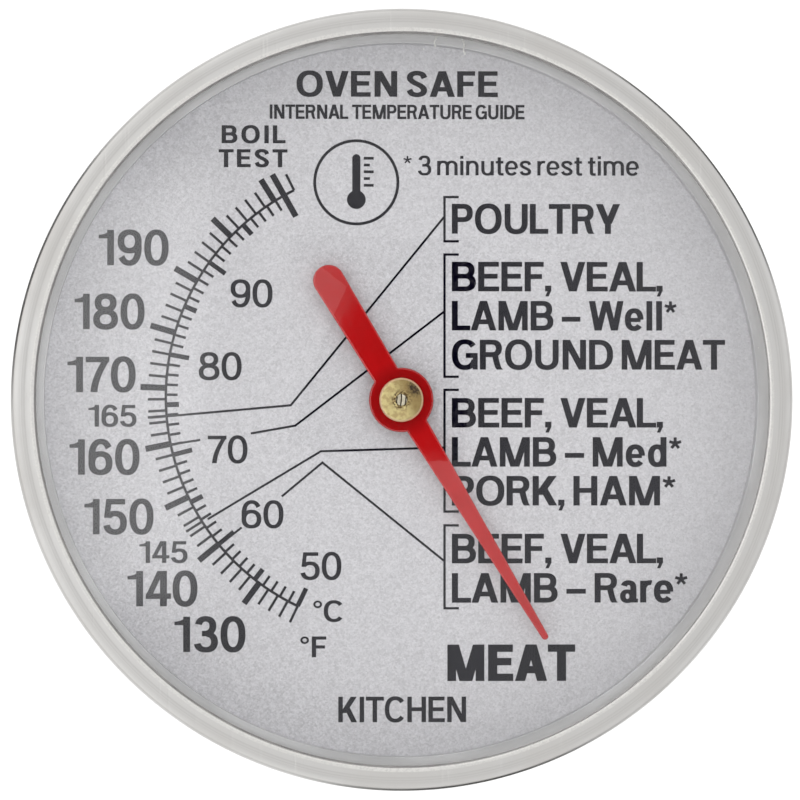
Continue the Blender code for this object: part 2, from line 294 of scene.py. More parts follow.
def bumped(tree, height, depth):
    """Raise a surface by a height between 0 and 1 times a depth in mm."""
    bump = node(tree, "Bump", {"Height": height, "Distance": depth * MM, "Strength": 1.0})
    tree.links.new(bump.outputs[0], tree.nodes["Principled BSDF"].inputs["Normal"])


def tint(tree, amount, colour):
    """Cover a finish with another colour by an amount between 0 and 1."""
    base = tree.nodes["Principled BSDF"].inputs["Base Color"]
    tree.links.new(ramp(tree, amount, base.links[0].from_socket, colour), base)


def metal(name, colour, dulled, roughness, fineness, depth, patch_size=250.0, scuffs=0.0):
    """Bare metal: two tones in soft patches, rings from its making, and scuffs that catch light."""
    made, tree, inputs = blank(name, {"Metallic": 1.0})
    patch = blotches(tree, patch_size)
    ring = place(tree, turning_rings, Fineness=fineness)["Ring"]
    tree.links.new(ramp(tree, patch, colour, dulled), inputs["Base Color"])
    uneven = maths(tree, "MULTIPLY", maths(tree, "ADD", ring, patch), 0.5)
    tree.links.new(ramp(tree, uneven, roughness * 0.8, roughness * 1.25), inputs["Roughness"])
    height = ring
    if scuffs:
        scuffed = maths(tree, "MULTIPLY", place(tree, hairlines)["Line"], scuffs)
        height = maths(tree, "SUBTRACT", ring, scuffed)
    bumped(tree, height, depth)
    return made


stem_steel = metal("ground_stem_steel", steel_colour, (0.575, 0.56, 0.54), 0.24, 5000.0, 0.004,
                   110.0, 0.5)
stem_radius, point_z, plug_top = ring_of("stem_tip")
_, tube_foot, tube_top = ring_of("stem_tube")
bore = stem_radius - stem_wall
lathe("stem_tube", plain(bore, stem_radius, tube_foot, tube_top), 0.08, 96, stem_steel, "stem")

cone_top = tube_foot - 0.05
point_outline = [
    (0, point_z), (0.14, point_z + 0.08), (0.26, 0.36), (1.2, 4.6), (stem_radius, cone_top),
    (bore - 0.05, cone_top), (bore - 0.05, plug_top), (0, plug_top),
]
point_ease = [0, 0.05, 0.1, 1.2, 0.3, 0, 0.1, 0]
point_steel = metal("ground_point_steel", (0.62, 0.60, 0.58), heat_tint_colour, 0.22, 3500.0,
                    0.005, 120.0)
lathe("stem_tip", point_outline, point_ease, 96, point_steel, "stem")

weld_middle = (cone_top + tube_foot) / 2
bead_outline = [
    (bore - 0.02, weld_middle - 0.04), (stem_radius - 0.03, weld_middle - weld_width / 2),
    (stem_radius + 0.02, weld_middle), (stem_radius - 0.03, weld_middle + weld_width / 2),
    (bore - 0.02, weld_middle + 0.04),
]
bead = turned(rounded(bead_outline, [0, 0, 0.2, 0, 0]), 144)
# thirty-six ripples, one to each pulse of the welder
bead[..., :2] *= (1 + 0.004 * np.sin(36 * all_round(144)))[..., None]
weld_metal = metal("weld_metal", (0.52, 0.50, 0.47), (0.46, 0.40, 0.33), 0.35, 1500.0, 0.01)
fix("tip_weld", [skin(bead)], weld_metal, "stem")

# ----------------------------------------
# The bimetal coil: a strip of two metals rolled together and wound on edge, brassy outside and
# grey inside. Its foot is held by the brass anchor and its top turns the brass hub on the shaft.
# ----------------------------------------

coil_low, coil_high = ring_of("bimetal_coil")[1:]
coil_outer = 1.45
strip_thickness, strip_width = 0.18, 0.9
coil_turns = 24
steps_per_turn = 40


def helix(outline, low, high, turns, steps):
    """A small outline of radius and height carried up a helix.

    The turn grows evenly along the path, and the outline's height rises with it from low to high.
    """
    along = np.linspace(0, 1, steps)[:, None]
    return swept(outline[:, 0], along * turns * 2 * np.pi,
                 low + along * (high - low) + outline[:, 1])


def capped(grid):
    """The skin of a tube with a flat cap on each end."""
    points, faces = skin(grid, close_along=False)
    columns = grid.shape[1]
    last = len(points) - columns
    caps = []
    for start, turn_round in ((0, False), (last, True)):
        fan = [[start, start + k, start + k + 1] for k in range(1, columns - 1)]
        caps += [list(reversed(three)) if turn_round else three for three in fan]
    return points, faces.tolist() + caps


strip_outline = rounded(plain(coil_outer - strip_thickness, coil_outer, 0, strip_width), 0.04, 2)
coil_steps = coil_turns * steps_per_turn
coil_grid = helix(strip_outline, coil_low, coil_high - strip_width, coil_turns, coil_steps)

bimetal = metal("bimetal_strip", (0.52, 0.50, 0.46), (0.47, 0.44, 0.40), 0.34, 6000.0, 0.003)
tree = bimetal.node_tree
strip_middle = (coil_outer - strip_thickness / 2) * MM
tint(tree, maths(tree, "GREATER_THAN", from_axis(tree), strip_middle), (0.62, 0.47, 0.25))
fix("bimetal_coil", [capped(coil_grid)], bimetal, "pointer", ["bimetal_coil"])

brass = metal("turned_brass", (0.66, 0.52, 0.27), (0.52, 0.40, 0.21), 0.30, 6000.0, 0.004, 400.0)
anchor_radius, anchor_low, anchor_high = ring_of("coil_anchor")
mandrel = coil_outer - strip_thickness - 0.05
shoulder = coil_low - 0.1
lathe("coil_anchor", [
    (0, anchor_low), (anchor_radius, anchor_low), (anchor_radius, shoulder), (mandrel, shoulder),
    (mandrel, anchor_high), (0, anchor_high),
], 0.12, 64, brass, "stem")

shaft_radius = 0.4
running_gap = 0.05
hub_radius, hub_low, hub_high = ring_of("coil_hub")
lathe("coil_hub", plain(shaft_radius + running_gap, hub_radius, hub_low, hub_high), 0.12, 64, brass,
      "pointer")

# ----------------------------------------
# The shaft's bearings: two white fluoropolymer guides pushed down the tube, and a flanged brass
# bush pressed into its top, which carries the pointer's weight.
# ----------------------------------------


def mottled(name, patches, colours, roughness, settings):
    """A finish in soft patches between two colours and two roughnesses."""
    made, tree, inputs = blank(name, settings)
    patch = blotches(tree, *patches)
    tree.links.new(ramp(tree, patch, *colours), inputs["Base Color"])
    tree.links.new(ramp(tree, patch, *roughness), inputs["Roughness"])
    return made


journal = shaft_radius + 0.1
polymer = mottled(
    "white_fluoropolymer", (700.0, 0.3, 0.7), ((0.80, 0.79, 0.75), (0.72, 0.70, 0.65)),
    (0.42, 0.55),
    {"Subsurface Weight": 0.15, "Subsurface Radius": (0.0006, 0.0005, 0.0004)},
)
for guide in ("middle_guide", "lower_guide"):
    radius, low, high = ring_of(guide)
    lathe(guide, [
        (journal, low), (radius - 0.3, low), (radius, low + 0.4),
        (radius, high - 0.4), (radius - 0.3, high), (journal, high),
    ], 0.12, 64, polymer, "stem")

flange, bush_low, bush_high = ring_of("upper_bearing")
flange_low = tube_top + 0.05
lathe("upper_bearing", [
    (journal, bush_low), (bore - 0.05, bush_low), (bore - 0.05, flange_low), (flange, flange_low),
    (flange, bush_high), (journal, bush_high),
], 0.08, 64, brass, "stem")

# ----------------------------------------
# The hexagon collar: turned from stainless bar and brazed to the tube. A tapered neck runs down
# to the stem, six flats take a spanner, and the head turns on the spigot above them.
# ----------------------------------------

collar_corner, collar_low, spigot_top = ring_of("hex_collar")
collar_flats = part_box("hex_collar")[1].y / MM * 2
case_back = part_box("case")[0].z / MM
spigot_radius = 3.05
collar_bore = stem_radius + 0.05
neck_height, neck_radius, edge_softness = 1.5, 3.7, 0.05


def hexagon_collar(rows_per_side, steps):
    """The collar's skin: a turned outline, except that no point stands outside the hexagon.

    The hexagon's reach is half its width across flats over the cosine of the angle from the
    nearest flat's middle. Outline and hexagon meet by a smooth minimum, which eases the edges.
    """
    corners = [
        (collar_bore, collar_low), (2.7, collar_low), (neck_radius, collar_low + neck_height),
        (4.55, collar_low + neck_height), (collar_corner, collar_low + neck_height + 0.55),
        (collar_corner, case_back - 0.45), (4.7, case_back), (spigot_radius, case_back),
        (spigot_radius, spigot_top), (collar_bore, spigot_top),
    ]
    eased = rounded(corners, [0.1, 0.3, 0.35, 0.05, 0.1, 0.1, 0.1, 0.1, 0.2, 0.1])
    s = np.linspace(0, 1, rows_per_side, endpoint=False)[:, None]
    outline = (eased[:, None] * (1 - s) + np.roll(eased, -1, 0)[:, None] * s).reshape(-1, 2)
    grid = turned(outline, steps)
    from_flat = all_round(steps) % (np.pi / 3) - np.pi / 6
    hexagon = collar_flats / 2 / np.cos(from_flat)
    reach = outline[:, 0]
    apart = (reach - hexagon) / edge_softness
    limited = reach - edge_softness * np.logaddexp(0, apart)
    scale = np.where(reach > collar_flats / 2 - 0.6, limited / reach, 1)
    grid[..., :2] *= scale[..., None]
    return grid


collar_steel = metal("collar_steel", (0.62, 0.60, 0.57), (0.52, 0.50, 0.46), 0.24, 3000.0, 0.006,
                     220.0, 0.8)
fix("hex_collar", [skin(hexagon_collar(5, 360))], collar_steel, "stem",
    ["hex_collar"])

# ----------------------------------------
# The swivel inside and under the case: a polymer washer, a flat steel washer, a wave spring and a
# toothed ring pushed down the spigot. Together they let the head turn stiffly on the collar.
# ----------------------------------------

spring_steel = metal("tempered_spring_steel", (0.42, 0.40, 0.37), (0.34, 0.31, 0.29), 0.36, 2500.0,
                     0.004)

loose_bore = 3.15
for washer, finish, slot in (
    ("seal_washer", polymer, "white_polymer"), ("flat_washer", spring_steel, "spring_steel"),
):
    radius, low, high = ring_of(washer)
    lathe(washer, plain(loose_bore, radius, low, high), 0.08, 96, finish, "stem")

wave_low, wave_high = ring_of("wave_spring")[1:]
wave_inner, wave_outer, wave_thickness, wave_count = 3.2, 5.0, 0.25, 3
wave_swing = (wave_high - wave_low - wave_thickness) / 2
wave = turned(rounded(plain(wave_inner, wave_outer, 0, wave_thickness), 0.06, 3), 144)
# the height rises and falls as the sine of three times the turn
wave[..., 2] += wave_low + wave_swing * (1 + np.sin(wave_count * all_round(144)))
fix("wave_spring", [skin(wave)], spring_steel, "stem", ["wave_spring"])

ring_radius, ring_low, ring_high = ring_of("retaining_ring")
teeth, tooth_radius, relief_radius = 6, 3.1, 3.75
around = all_round(240)
# the hole's reach swells between the teeth as a squared-off cosine of six times the turn
relief = 0.5 - 0.5 * np.tanh(6 * (np.cos(teeth * around) + 0.1))
hole = tooth_radius + (relief_radius - tooth_radius) * relief
across = rounded(plain(0, 1, ring_low, ring_high), [0, 0.03, 0.03, 0], 3)
push_on = swept(hole + (ring_radius - hole) * across[:, 0], around, across[:, 1])
fix("retaining_ring", [skin(push_on)], spring_steel, "stem", ["retaining_ring"])

# ----------------------------------------
# The case: a cup drawn from 0.5 mm stainless sheet. Its back is recessed round the collar, and its
# wall steps out to a shoulder that the dial sits on and the bezel curls under. Drawing and
# spinning leave broad rings on the back, and handling has scuffed it.
# ----------------------------------------

case_radius, case_low, case_high = ring_of("case")
dial_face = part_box("dial_plate")[1].z / MM
sheet = 0.5
cup_radius, cup_corner, seat_radius = 23.1, 3.0, case_radius - sheet
dial_thickness = 0.5
recess_floor = case_low + 0.6
shoulder_top = dial_face - dial_thickness - 0.05
shoulder_low = shoulder_top - sheet
case_outline = [
    (loose_bore, recess_floor), (6.6, recess_floor), (7.4, case_low), (cup_radius, case_low),
    (cup_radius, shoulder_low), (case_radius, shoulder_low), (case_radius, case_high),
    (seat_radius, case_high), (seat_radius, shoulder_top), (cup_radius - sheet, shoulder_top),
    (cup_radius - sheet, case_low + sheet), (7.65, case_low + sheet), (6.85, recess_floor + sheet),
    (loose_bore, recess_floor + sheet),
]
case_ease = [0.1, 0.4, 0.4, cup_corner, 0.15, 0.15, 0.15, 0.15, 0.1, 0.3, cup_corner - sheet, 0.3,
             0.3, 0.1]
case_steel = metal("spun_case_steel", (0.60, 0.58, 0.56), (0.53, 0.51, 0.48), 0.30, 1800.0, 0.007,
                   70.0, 1.0)
lathe("case", case_outline, case_ease, 240, case_steel, "head", fine=10)

# ----------------------------------------
# The dial plate: 0.5 mm aluminium sheet sprayed with a silver paint, whose metal flakes give a
# fine sparkle. A hole lets the shaft through, and a notch at six o'clock takes the spacer's tab.
# ----------------------------------------

plate_radius = ring_of("dial_plate")[0]
plate_hole = 1.6
notch_half, notch_floor = 1.15, 23.55
plate_outline = plain(plate_hole, plate_radius, dial_face - dial_thickness, dial_face)
plate = turned(rounded(plate_outline, 0.05, 3), 720)
# within the notch, no point reaches further down the dial than the notch's floor
in_notch = (np.abs(plate[..., 0]) < notch_half) & (plate[..., 1] < -notch_floor)
plate[..., 1] = np.where(in_notch, -notch_floor + (plate[..., 1] + plate_radius) * 0.02,
                         plate[..., 1])

# Metal flakes in the paint: each cell of a fine mesh of cells is one flake, with its own
# brightness and its own slight lean.
flakes, given, out = effect(
    "paint_flakes", {"Fineness": 9000.0, "Lean": 0.1}, {"Sparkle": "Float", "Normal": "Vector"}
)
mesh_of_cells = {"Vector": spot_on(flakes), "Scale": given["Fineness"]}
cells = node(flakes, "TexVoronoi", mesh_of_cells).outputs["Color"]
lean = vectors(flakes, "SUBTRACT", cells, (0.5, 0.5, 0.5))
lean = node(flakes, "VectorMath", {0: lean, "Scale": given["Lean"]}, operation="SCALE").outputs[0]
lean = vectors(flakes, "ADD", node(flakes, "NewGeometry").outputs["Normal"], lean)
flakes.links.new(node(flakes, "SeparateColor", {0: cells}).outputs[0], out["Sparkle"])
flakes.links.new(vectors(flakes, "NORMALIZE", lean), out["Normal"])


def zone(tree, distance, start, end, most=1.0, smooth=False):
    """0 at the start distance and most at the end distance, in mm."""
    return between(tree, distance, start * MM, end * MM, most, smooth=smooth)


silver_paint, tree, inputs = blank("silver_paint", {"Metallic": 0.35})
flake = place(tree, flakes, Fineness=10500.0, Lean=0.2)
cloud = blotches(tree, 1400.0, 0.2, 0.8)
coarse = place(tree, flakes, Fineness=6500.0)["Sparkle"]
tone = maths(tree, "MULTIPLY", flake["Sparkle"], 0.52)
tone = maths(tree, "MULTIPLY_ADD", coarse, 0.34, tone)
tone = maths(tree, "MULTIPLY_ADD", cloud, 0.04, tone)
tree.links.new(ramp(tree, tone, (0.50, 0.495, 0.519), (0.78, 0.775, 0.805)), inputs["Base Color"])
# painted shade: the paint darkens towards the rim, where the wall would shade it, most of it on the
# right
reach = vectors(tree, "DISTANCE", spot_on(tree), (-0.8 * MM, 0, dial_face * MM))
tint(tree, zone(tree, reach, 21.8, 24.2, 0.1, smooth=True), (0.40, 0.40, 0.405))
tree.links.new(ramp(tree, cloud, 0.42, 0.60), inputs["Roughness"])
tree.links.new(flake["Normal"], inputs["Normal"])
fix("dial_plate", [skin(plate)], silver_paint, "head", ["dial_plate"])

# ----------------------------------------
# The print: black ink screened onto the silver paint in one pass, a little off the dial's middle.
# The letters are plain grotesque ones made of strokes. A stroke is thicker upright than across,
# and its sizes are shares of the height of a capital.
# ----------------------------------------

ink_thickness = 0.015
ink_sunk = 0.005
print_shift = np.array([-0.21, 0.295])
print_shrink = 0.9912
squareness = 0.87


def band(one_side, other_side):
    """Four-sided faces between two lines that have the same number of points."""
    one, other = np.asarray(one_side, float), np.asarray(other_side, float)
    return np.stack([one[:-1], one[1:], other[1:], other[:-1]], 1)


def slab(left, right, low, high):
    """An upright rectangle."""
    return band([(left, low), (right, low)], [(left, high), (right, high)])


def bar(x_low, low, x_high, high, width, bend=1.0):
    """A leaning stroke with level ends, whose middle moves as the height to the power bend."""
    t = np.linspace(0, 1, 2 if bend == 1 else 12)
    x = x_low + (x_high - x_low) * t**bend
    y = low + (high - low) * t
    return band(np.stack([x - width / 2, y], -1), np.stack([x + width / 2, y], -1))


def bowl(x, y, across, up, side, top, start=0, end=360, power=squareness):
    """A stretch of a rounded bowl, whose stroke is as thick as side upright and as top level.

    Each edge is an ellipse whose cosine and sine are raised to a power below one, which squares it.
    """
    angle = np.radians(np.linspace(start, end, max(6, int(abs(end - start) / 7) + 1)))

    def edge(reach_x, reach_y):
        wide = np.sign(np.cos(angle)) * np.abs(np.cos(angle)) ** power
        tall = np.sign(np.sin(angle)) * np.abs(np.sin(angle)) ** power
        return np.stack([x + reach_x * wide, y + reach_y * tall], -1)

    return band(edge(across, up), edge(across - side, up - top))


def ribbon(path, side, top=None):
    """A stroke along a line of points: upright it is as thick as side, and level as top."""
    path = np.asarray(path, float)
    before = np.diff(path, axis=0, prepend=path[:1] * 2 - path[1:2])
    after = np.diff(path, axis=0, append=path[-1:] * 2 - path[-2:-1])
    before, after = (v / np.linalg.norm(v, axis=1)[:, None] for v in (before, after))
    run = before + after
    run /= np.linalg.norm(run, axis=1)[:, None]
    square = np.stack([-run[:, 1], run[:, 0]], -1)
    mitre = np.maximum((run * before).sum(1), 0.5)
    thick = side if top is None else top + (side - top) * np.abs(run[:, 1])
    half = (thick / 2 / mitre)[:, None] * square
    return band(path - half, path + half)


def eased_path(points, steps=5):
    """A smooth line through points: between two of them, the cubic whose slope at each is half the
    step between its neighbours."""
    p = np.asarray(points, float)
    p = np.concatenate([[2 * p[0] - p[1]], p, [2 * p[-1] - p[-2]]])
    t = np.linspace(0, 1, steps, endpoint=False)[:, None, None]
    a, b, c, d = p[:-3], p[1:-2], p[2:-1], p[3:]
    bend, twist = 2 * a - 5 * b + 4 * c - d, 3 * b - a - 3 * c + d
    line = 0.5 * (2 * b + (c - a) * t + bend * t**2 + twist * t**3)
    return np.concatenate([line.transpose(1, 0, 2).reshape(-1, 2), p[-2:-1]])


def snake(width, height, s, h):
    """The path of an S, the same upside down, as a stroke."""
    half = np.array([(0.595, 0.73), (0.52, 0.87), (0.345, 0.925), (0.16, 0.865), (0.115, 0.71),
                     (0.21, 0.585)])
    whole = np.concatenate([half, [(0.345, 0.5)], (0.69, 1.0) - half[::-1]])
    return ribbon(eased_path(whole) * (width / 0.69, height), s, h)


def star(x, y, reach, width, points=5):
    """An asterisk: spokes from one middle."""
    turn = np.radians(90 + np.arange(points) * 360 / points)
    ends = [(x + reach * np.cos(a), y + reach * np.sin(a)) for a in turn]
    return np.concatenate([ribbon([(x, y), end], width) for end in ends])


def alphabet(s, h):
    """Each letter for stems of thickness s and arms of h: its width, then its strokes."""
    stem = slab(0, s, 0, 1)
    t = np.linspace(0, 1, 8)
    flag = (0.42 - s / 2) * t

    def arm(right, low):
        return slab(s / 2, right, low, low + h)

    def post(right, high=1):
        return slab(right - s, right, 0, high)

    def cup(x, y, across, up, start=0, end=360):
        return bowl(x, y, across, up, s, h, start, end)

    def pair(width, x_low, low, x_high, thick):
        """A leaning stroke up to the top, and its mirror image across a letter of this width."""
        return (bar(x_low, low, x_high, 1, s * thick),
                bar(width - x_low, low, width - x_high, 1, s * thick))

    return {
        "A": (0.85, *pair(0.85, s * 0.56, 0, 0.412, 1.1), slab(0.2, 0.65, 0.21, 0.21 + h)),
        "B": (0.755, stem, arm(0.4, 1 - h), arm(0.41, 0.43), arm(0.41, 0),
              cup(0.4, 0.715, 0.315, 0.285, -90, 90),
              cup(0.41, 0.215 + h / 2, 0.345, 0.215 + h / 2, -90, 90)),
        "C": (0.81, cup(0.425, 0.5, 0.425, 0.515, 38, 322)),
        "D": (0.776, stem, arm(0.32, 1 - h), arm(0.32, 0), cup(0.32, 0.5, 0.456, 0.5, -90, 90)),
        "E": (0.66, stem, arm(0.65, 1 - h), arm(0.61, 0.43), arm(0.66, 0)),
        "F": (0.6, stem, arm(0.6, 1 - h), arm(0.545, 0.42)),
        "G": (0.835, cup(0.425, 0.5, 0.425, 0.515, 38, 338), slab(0.45, 0.835, 0.39, 0.39 + h),
              slab(0.835 - s * 0.8, 0.835, 0, 0.45)),
        "H": (0.75, stem, post(0.75), arm(0.7, 0.43)),
        "I": (s, stem),
        "K": (0.76, stem, bar(0.2, 0.36, 0.62, 1, s * 1.35), bar(0.64, 0, 0.33, 0.6, s * 1.3)),
        "L": (0.61, stem, arm(0.61, 0)),
        "M": (0.97, slab(0, s * 0.95, 0, 1), slab(0.97 - s * 0.95, 0.97, 0, 1),
              *pair(0.97, 0.45, 0, s * 0.7, 1.1)),
        "N": (0.76, stem, post(0.76), bar(0.76 - s * 0.62, 0, s * 0.62, 1, s * 1.2)),
        "O": (0.88, cup(0.44, 0.5, 0.44, 0.515)),
        "P": (0.69, stem, arm(0.38, 1 - h), arm(0.38, 0.39),
              cup(0.38, 0.695, 0.31, 0.305, -90, 90)),
        "R": (0.745, stem, arm(0.4, 1 - h), arm(0.42, 0.42), cup(0.4, 0.71, 0.315, 0.29, -90, 90),
              bar(0.745 - s / 2, 0, 0.49, 0.5, s, 0.6)),
        "S": (0.7, snake(0.7, 1, s, h)),
        "T": (0.72, slab(0, 0.72, 1 - h, 1), post(0.36 + s / 2)),
        "U": (0.76, slab(0, s, 0.36, 1), slab(0.76 - s, 0.76, 0.36, 1),
              cup(0.38, 0.36, 0.38, 0.375, 180, 360)),
        "V": (0.79, *pair(0.79, 0.38, 0, s * 0.56, 1.1)),
        "W": (1.155, *pair(1.155, 0.295, 0, s * 0.54, 1.07), *pair(1.155, 0.32, 0, 0.565, 1.02)),
        "Y": (0.8, post(0.4 + s / 2, 0.44), *pair(0.8, 0.385, 0.34, s * 0.6, 1.17)),
        "a": (0.57, post(0.52, 0.5), cup(0.27, 0.5, 0.25, 0.255, 0, 162),
              bowl(0.235, 0.215, 0.235, 0.23, s * 0.9, h * 0.85), slab(0.5, 0.57, 0, h * 0.8)),
        "d": (0.6, post(0.6), cup(0.3, 0.37, 0.3, 0.385)),
        "e": (0.62, cup(0.31, 0.37, 0.31, 0.385, 0, 322),
              slab(s / 2, 0.62 - s / 2, 0.36 - h * 0.42, 0.36 + h * 0.42)),
        "i": (s, post(s, 0.74), slab(0, s, 0.85, 1)),
        "l": (s, stem),
        "m": (0.98, post(s, 0.74), post(0.49 + s / 2, 0.46), post(0.98, 0.46),
              cup(0.245 + s / 4, 0.44, 0.245 + s / 4, 0.315, 0, 180),
              cup(0.735 - s / 4, 0.44, 0.245 + s / 4, 0.315, 0, 180)),
        "n": (0.6, post(s, 0.74), post(0.6, 0.46), cup(0.3, 0.44, 0.3, 0.315, 0, 180)),
        "r": (0.37, post(s, 0.74), cup(0.32, 0.41, 0.32, 0.345, 80, 180)),
        "s": (0.58, snake(0.58, 0.75, s, h)),
        "t": (0.37, slab(0.09, 0.09 + s, 0.16, 0.93), slab(0, 0.36, 0.74 - h, 0.74),
              cup(0.26, 0.16, 0.17, 0.17, 180, 270), slab(0.25, 0.37, -0.01, h - 0.01)),
        "u": (0.6, slab(0, s, 0.29, 0.74), post(0.6, 0.74), cup(0.3, 0.3, 0.3, 0.315, 180, 360)),
        "0": (0.67, cup(0.335, 0.5, 0.335, 0.515)),
        "1": (0.42, post(0.42), band(np.c_[flag, 0.76 + 0 * t], np.c_[flag, 0.86 + 0.14 * t**2.2])),
        "3": (0.65, cup(0.32, 0.735, 0.285, 0.28, -85, 170),
              cup(0.325, 0.285, 0.325, 0.3, -170, 85),
              slab(0.22, 0.36, 0.445, 0.445 + h)),
        "4": (0.68, post(0.385 + s), slab(0, 0.68, 0.21, 0.21 + h),
              bar(s * 0.47, 0.3, 0.4, 1, s * 0.94)),
        "5": (0.66, slab(0.12, 0.61, 1 - h, 1), bar(0.105, 0.47, 0.165, 1, s * 0.85),
              cup(0.33, 0.325, 0.33, 0.34, -168, 142)),
        "6": (0.66, cup(0.33, 0.325, 0.33, 0.34), cup(0.34, 0.5, 0.34, 0.515, 33, 190)),
        "7": (0.635, slab(0, 0.635, 1 - h, 1), bar(0.225, 0, 0.545, 0.9, s * 1.03, 1.7)),
        "8": (0.69, cup(0.345, 0.745, 0.305, 0.27), cup(0.345, 0.28, 0.345, 0.295)),
        "9": (0.66, cup(0.33, 0.675, 0.33, 0.34), cup(0.32, 0.5, 0.34, 0.515, 213, 370)),
        ",": (s, slab(0, s, 0, s), bar(s * 0.3, -0.17, s * 0.72, 0.03, s * 0.55)),
        "-": (0.62, slab(0, 0.62, 0.3, 0.3 + h)),
        "*": (0.42, star(0.21, 0.79, 0.2, s * 0.5)),
        "o": (0.36, bowl(0.18, 0.82, 0.18, 0.18, s * 0.5, s * 0.5, power=1)),
    }


# Room left beside a letter: least by a slope or an open side, more by a bowl, most by a stem.
SLOPING, BOWED, STEMMED = 0.008, 0.035, 0.064
ROOM = {**{c: SLOPING for c in "AVWYT47L*,"}, **{c: BOWED for c in "OCGSDPRKo0356899asetr-EFB"}}
WORD_GAP = 0.28


def cut(strokes):
    """One closed plate in the shape of all the strokes together: its points, with 0 for the foot
    and 1 for the top, and its faces. The strokes are cut into triangles that don't overlap."""
    quads = np.concatenate(strokes)
    x, y = quads[..., 0], quads[..., 1]
    turned_right = (x * np.roll(y, -1, 1) - y * np.roll(x, -1, 1)).sum(1) < 0
    quads[turned_right] = quads[turned_right][:, ::-1]
    flat = [Vector(p) for p in quads.reshape(-1, 2)]
    corners = np.arange(len(flat)).reshape(-1, 4).tolist()
    found = delaunay_2d_cdt(flat, [], corners, 0, 1e-5)
    points = np.array([tuple(p) for p in found[0]])
    faces = np.array([face for face, covered_by in zip(found[2], found[5]) if covered_by])
    sides = np.concatenate([faces[:, [0, 1]], faces[:, [1, 2]], faces[:, [2, 0]]])
    _, which, count = np.unique(np.sort(sides, 1), axis=0, return_inverse=True, return_counts=True)
    rim = sides[count[which.ravel()] == 1]
    n = len(points)
    solid = np.concatenate([np.c_[points, np.zeros(n)], np.c_[points, np.ones(n)]])
    walls = np.c_[rim[:, 0], rim[:, 1], rim[:, 1] + n, rim[:, 0] + n]
    return solid, [*(faces + n).tolist(), *faces[:, ::-1].tolist(), *walls.tolist()]


cut_letters = {}


def line_of_print(text, left, right, base, capital, stem=0.18):
    """A line of letters that fills the room from left to right, in mm from the scale's middle.

    Letters are squeezed by a tenth or widened by a sixth at most, and the gaps take up the rest.
    """
    arm = stem * 0.84
    letters, places, pen = [], [], 0.0
    for before, letter in zip(" " + text, text):
        if letter == " ":
            pen += WORD_GAP
            continue
        if (letter, stem) not in cut_letters:
            width, *strokes = alphabet(stem, arm)[letter]
            cut_letters[letter, stem] = width, *cut(strokes)
        pen += 0 if before == " " else ROOM.get(before, STEMMED) + ROOM.get(letter, STEMMED)
        letters.append(cut_letters[letter, stem])
        places.append(pen)
        pen += letters[-1][0]
    stretch = np.clip((right - left) / (pen * capital), 0.9, 1.16)
    spare = (right - left) - pen * capital * stretch
    parts = []
    for k, ((width, points, faces), x) in enumerate(zip(letters, places)):
        start = left + x * capital * stretch + spare * k / max(1, len(letters) - 1)
        parts.append(inked(points * (capital * stretch, capital, 1) + (start, base, 0), faces))
    return parts


def inked(points, faces):
    """A cut plate laid on the dial, from just under the paint to an ink's height above it."""
    laid = points.copy()
    laid[:, :2] = points[:, :2] * print_shrink + print_shift
    laid[:, 2] = dial_face - ink_sunk + points[:, 2] * (ink_thickness + ink_sunk)
    return laid, faces


black_ink = mottled(
    "black_ink", (2600.0, 0.3, 0.75), ((0.001, 0.0006, 0.006), (0.004, 0.003, 0.011)),
    (0.06, 0.14), {}
)

fahrenheit = (  # numeral, left, right, foot of the line
    ("190", -19.83, -15.2, 8.63), ("180", -21.42, -16.79, 4.39), ("170", -21.89, -17.38, 0.22),
    ("160", -21.75, -17.12, -5.25), ("150", -20.76, -16.19, -9.2), ("140", -17.91, -13.28, -13.97),
    ("130", -14.8, -10.1, -17.0),
)
safe_marks = (("165", -20.5, -17.32, -2.07), ("145", -17.12, -13.94, -11.1))
celsius = (
    ("90", -11.09, -8.31, 5.86), ("80", -13.2, -10.36, 1.03), ("70", -12.6, -9.97, -4.49),
    ("60", -10.36, -7.58, -8.79), ("50", -6.46, -3.74, -12.22),
)
numerals = []
for rows, capital, stem in ((fahrenheit, 2.34, 0.185), (safe_marks, 1.44, 0.175),
                            (celsius, 1.82, 0.155)):
    for text, left, right, base in rows:
        numerals += line_of_print(text, left, right, base, capital, stem)
numerals += line_of_print("oC", -5.6, -3.61, -15.01, 1.41, 0.18)
numerals += line_of_print("oF", -6.46, -4.74, -17.36, 1.38, 0.18)
fix("print_numerals", numerals, black_ink, "head", outward=False)

